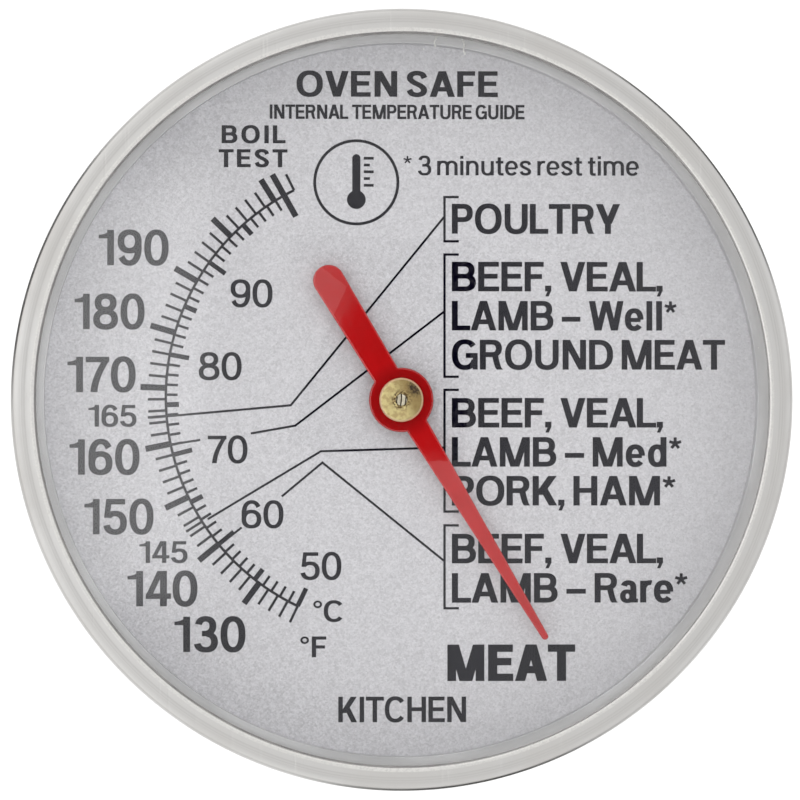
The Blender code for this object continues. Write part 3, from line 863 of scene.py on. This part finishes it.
food_left = 3.6
lines = (  # words, left, right, foot of the line, height of a capital, stem
    ("OVEN SAFE", -6.72, 6.66, 19.85, 1.71, 0.205),
    ("INTERNAL TEMPERATURE GUIDE", -8.5, 8.44, 18.37, 0.95, 0.2),
    ("BOIL", -11.69, -7.45, 16.74, 1.19, 0.21),
    ("TEST", -11.89, -7.32, 15.15, 1.19, 0.21),
    ("* 3 minutes rest time", 0.36, 16.06, 14.64, 1.29, 0.152),
    ("POULTRY", food_left, 14.8, 10.76, 1.98, 0.195),
    ("BEEF, VEAL,", food_left, 17.64, 6.93, 1.96, 0.195),
    ("LAMB - Well*", food_left, 18.58, 4.33, 1.96, 0.195),
    ("GROUND MEAT", food_left, 21.8, 1.73, 1.98, 0.195),
    ("BEEF, VEAL,", food_left, 17.65, -2.12, 1.96, 0.195),
    ("LAMB - Med*", food_left, 18.9, -4.72, 1.96, 0.195),
    ("PORK, HAM*", food_left, 18.5, -7.3, 1.96, 0.195),
    ("BEEF, VEAL,", food_left, 17.65, -11.14, 1.96, 0.195),
    ("LAMB - Rare*", food_left, 19.3, -13.75, 1.96, 0.195),
    ("MEAT", 3.3, 11.8, -18.95, 2.42, 0.24),
    ("KITCHEN", -3.94, 4.54, -21.67, 1.69, 0.18),
)
words = [part for line in lines for part in line_of_print(*line)]
fix("print_words", words, black_ink, "head", outward=False)

# The scale: a fine arc with Fahrenheit marks outside it and Celsius marks inside it.
arc_radius, fine = 15.35, 0.17
low_f, boil_f, high_f = 122, 212, 214
degrees_per_f, low_bearing = 1.391, 205.5
arc_middle = np.array([-0.03, -0.11])


def bearing_of(fahrenheit_degrees):
    """The clockwise angle from twelve o'clock, in degrees, of a temperature on the scale."""
    return low_bearing + (fahrenheit_degrees - low_f) * degrees_per_f


def mark(fahrenheit_degrees, start, end, width):
    """A mark across the arc, from one distance outside it to another; less than 0 is inside."""
    a = math.radians(bearing_of(fahrenheit_degrees))
    way = np.array([math.sin(a), math.cos(a)])
    return ribbon([arc_middle + way * (arc_radius + start), arc_middle + way * (arc_radius + end)],
                  width)


sweep = np.radians(np.linspace(bearing_of(low_f), bearing_of(high_f), 150))
scale = [ribbon(arc_middle + arc_radius * np.stack([np.sin(sweep), np.cos(sweep)], -1), fine)]
for f in range(low_f, high_f + 1, 2):
    decade = f % 10 == 0
    scale.append(mark(f, 0, 1.69 if decade else 1.19, 0.4 if decade else fine))
for c in range(50, 101):
    length, width = {0: (1.3, 0.31), 5: (0.86, 0.33)}.get(c % 10, (0.78, fine))
    scale.append(mark(32 + 1.8 * c, 0, -length, width))
scale += [mark(f, 0, 1.25, fine) for f in (145, 165)]
scale += [mark(boil_f, -1.6, 1.6, 0.4)]

leader = 0.145
leaders = (
    [(3.11, 11.9), (-7.1, -0.65), (-16.4, -1.48)],
    [(3.11, 5.6), (-6.8, -2.0), (-9.75, -2.52)],
    [(-13.1, -2.95), (-16.7, -3.5)],
    [(3.11, -3.45), (-5.1, -3.7), (-12.6, -8.2)],
    [(3.11, -11.0), (-5.0, -4.45), (-7.7, -6.7)],
    [(-10.35, -8.75), (-12.9, -10.75)],
)
scale += [ribbon(path, leader) for path in leaders]
brackets = ((13.19, 10.25), (9.37, 1.25), (0.38, -7.7), (-8.62, -14.12))
scale += [ribbon([(4.06, top), (3.11, top), (3.11, foot), (4.06, foot)], 0.155) for top,
          foot in brackets]

# A plain ring round a picture of a thermometer, where such dials carry a hygiene mark.
badge, badge_ring = (-2.75, 14.16), (2.86, 0.19)
scale.append(bowl(*badge, badge_ring[0], badge_ring[0], badge_ring[1], badge_ring[1], power=1))
bulb = np.array(badge) + (0, -1.15)
scale.append(bowl(*bulb, 0.62, 0.62, 0.6, 0.6, power=1))
scale.append(slab(bulb[0] - 0.27, bulb[0] + 0.27, bulb[1], bulb[1] + 2.75))
scale.append(bowl(bulb[0], bulb[1] + 2.75, 0.27, 0.27, 0.265, 0.265, 0, 180, power=1))
scale += [slab(bulb[0] + 0.5, bulb[0] + 1.15 - 0.25 * (k % 2), y - 0.09, y + 0.09)
          for k, y in enumerate(bulb[1] + np.arange(0.95, 2.9, 0.45))]
fix("print_scale", [inked(*cut(scale))], black_ink, "head", outward=False)

# ----------------------------------------
# The pointer: blanked from thin sheet and dipped in red enamel, which rounds its edges. A boss
# holds the hub, the blade tapers to the scale, and the wider tail balances it.
# ----------------------------------------

hand_low, hand_high = ring_of("pointer_hand")[1:]
hand_bearing = math.radians(148.7)
hand_reach, tail_reach, boss_radius, hand_hole = 18.4, 10.2, 2.12, 0.95
tip_half, root_half, tail_root_half, tail_half = 0.225, 0.755, 0.9, 1.03
enamel_ease = 0.09


def arc(x, y, radius, start, end, steps):
    """Points of an arc from the start angle to the end angle, in degrees."""
    a = np.radians(np.linspace(start, end, steps))
    return np.stack([x + radius * np.cos(a), y + radius * np.sin(a)], -1)


blade_turn = math.degrees(math.acos(root_half / boss_radius))
tail_turn = math.degrees(math.acos(tail_root_half / boss_radius))
hand_outline = np.concatenate([
    arc(0, hand_reach - tip_half, tip_half, 10, 170, 9),
    arc(0, 0, boss_radius, 180 - blade_turn, 180 + tail_turn, 40),
    arc(0, tail_half - tail_reach, tail_half, 182, 358, 36),
    arc(0, 0, boss_radius, -tail_turn, blade_turn, 40),
])


def enamelled(outline, hole_radius, low, high, ease):
    """A flat plate round a hole: each outline point is carried from the hole's edge, along the
    underside, round the eased rim and back over the top. The rim's ease is a quarter ellipse, and
    a narrow border inside it keeps the rest dead flat."""
    run = np.roll(outline, -1, 0) - np.roll(outline, 1, 0)
    outwards = np.stack([run[:, 1], -run[:, 0]], -1) / np.linalg.norm(run, axis=1)[:, None]
    around_hole = outline / np.linalg.norm(outline, axis=1)[:, None] * hole_radius
    border = outline - outwards * (ease + 0.03)
    quarter = [(outline - outwards * ease * (1 - np.sin(a)), ease * (1 - np.cos(a)))
               for a in np.linspace(0, np.pi / 2, 6)]
    rows = [(around_hole, low), (border, low),
            *((edge, low + 0.7 * rise) for edge, rise in quarter)]
    rows += [*((edge, high - drop) for edge, drop in quarter[::-1]), (border, high),
             (around_hole, high)]
    return np.stack([np.c_[edge, np.full(len(edge), height)] for edge, height in rows], 1)


def turn_clockwise(grid, angle):
    """Points turned clockwise about the Z axis, as seen from above."""
    c, s = math.cos(angle), math.sin(angle)
    return np.stack([grid[..., 0] * c + grid[..., 1] * s, grid[..., 1] * c - grid[..., 0] * s,
                     grid[..., 2]], -1)


red_enamel = mottled(
    "red_enamel", (500.0, 0.35, 0.7), ((0.51, 0.007, 0.009), (0.46, 0.005, 0.006)), (0.03, 0.06),
    {"Specular IOR Level": 0.9},
)
tree = red_enamel.node_tree
# painted shade: the enamel is darkened round the boss
thick = zone(tree, from_axis(tree), boss_radius + 0.5, boss_radius - 0.3, 0.75)
tint(tree, thick, (0.30, 0.005, 0.006))
bumped(tree, noise(tree, spot_on(tree), 1500.0, Detail=2.0), 0.0006)

hand = enamelled(hand_outline, hand_hole, hand_low, hand_high, enamel_ease)
fix("pointer_hand", [skin(turn_clockwise(hand, hand_bearing))], red_enamel, "pointer",
    ["pointer_hand"], sharp=50)

# ----------------------------------------
# The hub and shaft: a turned brass hub is riveted through the hand and pressed on the shaft, whose
# end is then staked with a small chisel so that it can't slip.
# ----------------------------------------

hub_face, hub_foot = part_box("pointer_hub")[1].z / MM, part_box("pointer_hub")[0].z / MM
shaft_low, shaft_top = ring_of("pointer_shaft")[1:]
hub_radius, rivet_radius = 1.45, hand_hole - 0.05
hub_corners = [
    (shaft_radius, hub_foot), (1.2, hub_foot), (1.3, hub_foot + 0.1), (1.3, hand_low - 0.02),
    (rivet_radius, hand_low - 0.02), (rivet_radius, hand_high + 0.01),
    (hub_radius, hand_high + 0.01), (hub_radius, hub_face - 0.13), (1.3, hub_face),
    (0.62, hub_face), (0.52, hub_face - 0.07), (shaft_radius, hub_face - 0.05),
]
hub_ease = [0.02, 0.04, 0.04, 0.02, 0.02, 0.02, 0.04, 0.04, 0.05, 0.05, 0.03, 0.02]
old_brass = metal("tarnished_brass", (0.69, 0.585, 0.285), (0.50, 0.38, 0.18), 0.36, 5200.0, 0.008,
                  3600.0, 1.0)
tree = old_brass.node_tree
spot = flat_spot(tree)
reach = from_axis(tree)
across = vectors(tree, "DOT_PRODUCT", spot, (0.9, 0.44, 0))
from_stain = vectors(tree, "DISTANCE", spot, (0.95 * MM, 0.8 * MM, 0))
blotch = blotches(tree, 7000.0, 0.42, 0.58)
# the brass is darker towards one side of the rim, where a dark stain creeps in; staking dirt sits
# round the shaft, and a painted highlight runs round the rim's chamfer
stain = maths(tree, "MULTIPLY_ADD", blotch, zone(tree, from_stain, 0.75, 0.2),
              zone(tree, from_stain, 0.62, 0.3, 0.6))
dirt = maths(tree, "MULTIPLY", blotch, zone(tree, reach, 0.75, 0.5))
tint(tree, zone(tree, across, -0.15, 0.6, 0.85), (0.30, 0.21, 0.085))
tint(tree, maths(tree, "MINIMUM", stain, 1.0), (0.07, 0.05, 0.035))
tint(tree, dirt, (0.12, 0.075, 0.035))
# painted highlight: a light band on the rim's chamfer
tint(tree, zone(tree, reach, 1.31, 1.36), (0.92, 0.68, 0.43))
lathe("pointer_hub", hub_corners, hub_ease, 96, old_brass, "pointer")

shaft_corners = [(0, shaft_low), (shaft_radius, shaft_low), (shaft_radius, shaft_top - 0.02),
                 (0, shaft_top)]
shaft_outline = rounded(shaft_corners, [0, 0.08, 0.12, 0])
fine_steps = np.linspace(0, 1, 9)[1:-1, None]
shaft_outline = np.concatenate([
    shaft_outline[:-1], shaft_outline[-2] * (1 - fine_steps) + shaft_outline[-1] * fine_steps,
    shaft_outline[-1:],
])
shaft = turned(shaft_outline, 48)
# two crossed chisel cuts press into the end, each a narrow valley as deep as a bell curve
on_end = shaft[..., 2] > shaft_top - 0.03
valley = np.exp(-(shaft[..., 0] / 0.07) ** 2) + 0.6 * np.exp(-((shaft[..., 1] + 0.05) / 0.07) ** 2)
shaft[..., 2] -= np.where(on_end, 0.035 * np.minimum(valley, 1), 0)
shaft_steel = metal("shaft_steel", (0.66, 0.61, 0.48), (0.50, 0.45, 0.34), 0.30, 4000.0, 0.004,
                    1800.0)
tree = shaft_steel.node_tree
# dark slanted streaks are painted across the end, apart from the chisel valleys
cuts = node(tree, "TexWave", {
    "Vector": spot_on(tree), "Scale": 1100.0, "Distortion": 5.0, "Detail Scale": 0.6,
}).outputs["Fac"]
tint(tree, between(tree, cuts, 0.3, 0.12), (0.04, 0.03, 0.02))
fix("pointer_shaft", [skin(shaft)], shaft_steel, "pointer", ["pointer_shaft"])

# ----------------------------------------
# The spacer ring: a satin steel ring that stands on the dial plate and holds the window up. Its
# tab drops into the plate's notch, so that the dial can't turn in the case.
# ----------------------------------------

spacer_radius, tab_low, spacer_high = ring_of("spacer_ring")
spacer_low, spacer_bore = dial_face + 0.005, 23.4
tab_half, tab_inner, tab_outer = 1.0, 23.65, spacer_radius - 0.1
tab_turn = math.asin(tab_half / tab_outer)
tab_around = np.linspace(-math.pi / 2 - tab_turn, -math.pi / 2 + tab_turn, 12)[:, None]
tab_outline = rounded(plain(tab_inner, tab_outer, tab_low, spacer_low + 0.3), 0.05, 2)
tab = swept(tab_outline[:, 0], tab_around, tab_outline[:, 1])
spacer_steel = metal("spacer_steel", (0.63, 0.63, 0.637), (0.57, 0.57, 0.577), 0.5, 3000.0, 0.006,
                     120.0)
tree = spacer_steel.node_tree
# painted light: the ring's colour lightens towards its outer edge under the lip, where it would be
# shaded
painted_light_outward = zone(tree, from_axis(tree), spacer_bore + 0.1, spacer_radius)
tint(tree, painted_light_outward, (0.86, 0.86, 0.865))
spacer = turned(rounded(plain(spacer_bore, spacer_radius, spacer_low, spacer_high), 0.035), 360)
fix("spacer_ring", [skin(spacer), capped(tab)], spacer_steel, "head",
    ["spacer_ring"])

# ----------------------------------------
# The window: 2 mm flat glass with ground edges. Two short smears and a few specks of dried sealant
# lie on it near the rim.
# ----------------------------------------

lens_radius, lens_low, lens_high = ring_of("lens")
ground_edge = 0.15
lens_corners = [
    (0, lens_low), (lens_radius - ground_edge, lens_low), (lens_radius, lens_low + ground_edge),
    (lens_radius, lens_high - ground_edge), (lens_radius - ground_edge, lens_high), (0, lens_high),
]
glass, tree, _ = blank("window_glass", {
    "Base Color": (0.985, 0.985, 0.985, 1), "Roughness": 0.0, "IOR": 1.52,
    "Transmission Weight": 1.0,
})
ray = node(tree, "LightPath").outputs
indirect = maths(tree, "MAXIMUM", ray["Is Shadow Ray"], ray["Is Diffuse Ray"])
indirect = maths(tree, "MAXIMUM", indirect, ray["Is Glossy Ray"])
clear = node(tree, "BsdfTransparent", {0: (0.95, 0.95, 0.95, 1)}).outputs[0]
shader = tree.nodes["Principled BSDF"].outputs[0]
let_light_in = node(tree, "MixShader", {0: indirect, 1: shader, 2: clear}).outputs[0]
tree.links.new(let_light_in, tree.nodes["Material Output"].inputs["Surface"])
lathe("lens", lens_corners, [0, 0.03, 0.03, 0.03, 0.03, 0], 240, glass, "head", fine=2,
      sharp=12)


def lump(x, y, long, wide, height):
    """A low round drop lying on the window, stretched one way."""
    drop = turned(rounded([(0, 0), (1, 0), (0.8, 1), (0, 1)], [0, 0.1, 0.6, 0]), 14)
    return skin(drop * (wide / 2, long / 2, height) + (x, y, lens_high - 0.004))


sealant = mottled(
    "dried_sealant", (6000.0, 0.3, 0.7), ((0.62, 0.62, 0.60), (0.85, 0.85, 0.83)), (0.35, 0.6),
    {"Transmission Weight": 0.35},
)
smears = []
for x, y, length, lean in ((2.2, 23.85, 0.75, -0.1), (3.95, 23.55, 0.95, 0.12)):
    for k in range(7):
        t = k / 6
        wobble = 0.05 * math.sin(7 * t + 3 * x)
        smears.append(lump(x + lean * t + wobble, y - length * t, 0.2,
                           0.13 + 0.05 * math.cos(5 * t), 0.03))
specks = ((1.4, 22.9, 0.11), (3.9, 22.4, 0.09), (23.3, 3.4, 0.08), (-19.6, -9.4, 0.06),
          (21.4, -9.2, 0.05))
smears += [lump(x, y, size, size * 0.8, 0.03) for x, y, size in specks]
fix("sealant_smears", smears, sealant, "head")

gasket_radius, gasket_low, gasket_high = ring_of("lens_gasket")
window_radius = 23.95
gasket_bore = window_radius + 0.03
silicone = mottled(
    "dark_silicone", (900.0, 0.35, 0.7), ((0.24, 0.235, 0.23), (0.35, 0.34, 0.33)), (0.5, 0.7), {}
)
gasket = turned(rounded(plain(gasket_bore, gasket_radius, gasket_low, gasket_high), 0.06), 240)
# it has crept in past the lip all round but one side: by a smoothed step of the cosine of the turn
creep = 0.11 / (1 + np.exp(9 * (np.cos(all_round(240) + 0.35) - 0.55)))
reach = np.hypot(gasket[..., 0], gasket[..., 1])
gasket[..., :2] *= (1 - np.where(reach < gasket_bore + 0.2, creep, 0) / reach)[..., None]
fix("lens_gasket", [skin(gasket)], silicone, "head", ["lens_gasket"])

# ----------------------------------------
# The bezel ring: stainless strip rolled over the case's wall. Its lip holds the window down, a
# rolled groove stiffens it, and its foot is curled under the case's shoulder.
# ----------------------------------------

bezel_radius, bezel_low, bezel_top = ring_of("bezel_ring")
bezel_sheet = 0.55
lip_edge, groove_middle = 24.27, 24.52
lip_low = bezel_top - bezel_sheet
skirt_inner = bezel_radius - bezel_sheet
curl_top = bezel_low + bezel_sheet
bezel_corners = [
    (24.0, curl_top), (24.0, bezel_low), (bezel_radius, bezel_low), (bezel_radius, bezel_top),
    (24.78, bezel_top), (24.66, bezel_top - 0.008), (24.36, bezel_top - 0.013),
    (lip_edge, bezel_top - 0.008), (24.1, bezel_top - 0.008),
    (window_radius, bezel_top - 0.035), (window_radius, lip_low), (skirt_inner, lip_low),
    (skirt_inner, curl_top),
]
bezel_ease = [0.1, 0.25, 0.65, 0.9, 0.12, 0.1, 0.1, 0.06, 0.1, 0.08, 0.05, 0.1, 0.1]
bezel_steel = metal("satin_bezel_steel", (0.555, 0.548, 0.538), (0.51, 0.50, 0.487), 0.36, 2600.0,
                    0.009, 140.0, 0.6)
bezel = turned(rounded(bezel_corners, bezel_ease, 8), 480)
tree = bezel_steel.node_tree
rings = place(tree, turning_rings, Fineness=3400.0)["Ring"]
tint(tree, between(tree, rings, 0.5, 0.36, 0.5), (0.42, 0.41, 0.40))
# painted highlight: a lighter colour along the lip's inner edge, broken into speckles
lip_highlight_band = zone(tree, from_axis(tree), lip_edge, lip_edge - 0.07)
highlight_breakup = blotches(tree, 9000.0, 0.3, 0.6)
tint(tree, maths(tree, "MULTIPLY", lip_highlight_band, ramp(tree, highlight_breakup, 0.2, 1.0)), (0.64, 0.63, 0.61))
# rolling leaves the groove uneven: its depth drifts slowly round the ring
around = all_round(480)
uneven = 0.5 + 0.25 * np.sin(5 * around + 1)
uneven += 0.15 * np.sin(17 * around) + 0.1 * np.sin(43 * around + 2)
reach = np.hypot(bezel[..., 0], bezel[..., 1])
in_groove = np.exp(-((reach - groove_middle) / 0.09) ** 2) * (bezel[..., 2] > lip_low + 0.1)
bezel[..., 2] -= 0.006 * uneven * in_groove
fix("bezel_ring", [skin(bezel)], bezel_steel, "head", ["bezel_ring"])

# ----------------------------------------
# The studio: a plain white floor, soft light from all round that is stronger from the left, and
# a camera straight above the dial. Its black cards and its lit panel show only in reflections.
# ----------------------------------------


def flat_sheet(name, corners, height, settings, only_mirrored):
    """A flat sheet of the studio's, with its corners and height in mm, as its node tree."""
    mesh = bpy.data.meshes.new(name)
    mesh.from_pydata([(x * MM, y * MM, height * MM) for x, y in corners], [], [range(len(corners))])
    made, tree, _ = blank(name, settings)
    mesh.materials.append(made)
    placed = bpy.data.objects.new(name, mesh)
    bpy.context.scene.collection.objects.link(placed)
    placed.visible_camera = placed.visible_diffuse = not only_mirrored
    placed.visible_transmission = placed.visible_shadow = not only_mirrored
    return tree


flat_sheet("floor", [(-3000, -3000), (3000, -3000), (3000, 3000), (-3000, 3000)], 0,
           {"Base Color": (0.97, 0.97, 0.97, 1), "Roughness": 0.8}, only_mirrored=False)

world = bpy.data.worlds.new("soft_studio")
bpy.context.scene.world = world
world.use_nodes = True
tree = world.node_tree
background = tree.nodes["Background"]
sky = node(tree, "SeparateXYZ", {0: node(tree, "TexCoord").outputs["Generated"]}).outputs
from_left = between(tree, sky["X"], 0.6, -0.5, smooth=True)
glow = ramp(tree, from_left, (1.04, 1.04, 1.042), (1.29, 1.287, 1.273))
from_top = between(tree, sky["Y"], -1.0, 1.0, 1.05, 0.93)
# the ceiling straight overhead is dimmer, so the window mirrors less of it than the metal does
overhead = between(tree, sky["Z"], 0.975, 0.99, 0.53, 1.0, smooth=True)
low_down = between(tree, sky["Z"], 0.0, 0.5, 1.06, 0.8)
strength = maths(tree, "MULTIPLY", maths(tree, "MULTIPLY", from_top, overhead), low_down)
tree.links.new(glow, background.inputs["Color"])
tree.links.new(strength, background.inputs["Strength"])

camera_distance = 330.0
camera_lean = (-12.0, -4.0)
frame_width = 52.0
target = Vector((-0.2, -0.045, bezel_top)) * MM
stand = target + Vector((*camera_lean, camera_distance)) * MM
back = (stand - target).normalized()
right = Vector((0, 1, 0)).cross(back).normalized()
up = back.cross(right)
camera_data = bpy.data.cameras.new("camera")
camera_data.sensor_width = 36.0
camera_data.lens = 36.0 * camera_distance / frame_width
camera_data.clip_start, camera_data.clip_end = 0.01, 20.0
camera = bpy.data.objects.new("camera", camera_data)
axes = Matrix((right, up, back)).transposed().to_4x4()
camera.matrix_world = Matrix.Translation(stand) @ axes
bpy.context.scene.collection.objects.link(camera)
bpy.context.scene.camera = camera


def card(name, corners, height=bezel_top + camera_distance + 1):
    """A black card, level with the camera unless a height is given, seen only in reflections."""
    black = {"Base Color": (0.001, 0.001, 0.001, 1), "Specular IOR Level": 0.0}
    return flat_sheet(name, corners, height, black, only_mirrored=True)


# the window mirrors a dark card over the hub
card("dark_card", [
    (-2.6, 25.8), (22.0, 25.0), (21.4, 13.0), (20.4, -3.9), (14.0, -4.1), (-3.0, -1.7),
    (-0.9, 5.0), (2.6, 13.7), (4.9, 18.9), (1.1, 21.9), (-2.8, 22.1),
])
# and a lit panel down the left side of the dial, which fades at its edges
tree = card("lit_panel", [(-120, -27), (-11, -27), (-11, 12), (-5, 30), (-5, 39), (-120, 39)])
across_panel = node(tree, "SeparateXYZ", {0: spot_on(tree)}).outputs
lit = 1.0
for axis, edge, inside in (("X", -10.0, -18.0), ("Y", -27.0, -19.0), ("Y", 39.0, 29.0)):
    lit = maths(tree, "MULTIPLY", lit, zone(tree, across_panel[axis], edge, inside, smooth=True))
inputs = tree.nodes["Principled BSDF"].inputs
inputs["Emission Color"].default_value = (1, 1, 1, 1)
tree.links.new(ramp(tree, lit, 0.54, 2.0), inputs["Emission Strength"])

# black cards lie on the floor round the thermometer, for its bright sides to mirror
for k, bearing in enumerate((38, 158, 282)):
    near, far = (arc(0, 0, reach, bearing - 19, bearing + 19, 9) for reach in (80, 2400))
    card(f"floor_card_{k + 1}", [*near, *far[::-1]], 0.5)
bpy.context.scene.view_settings.view_transform = "Standard"
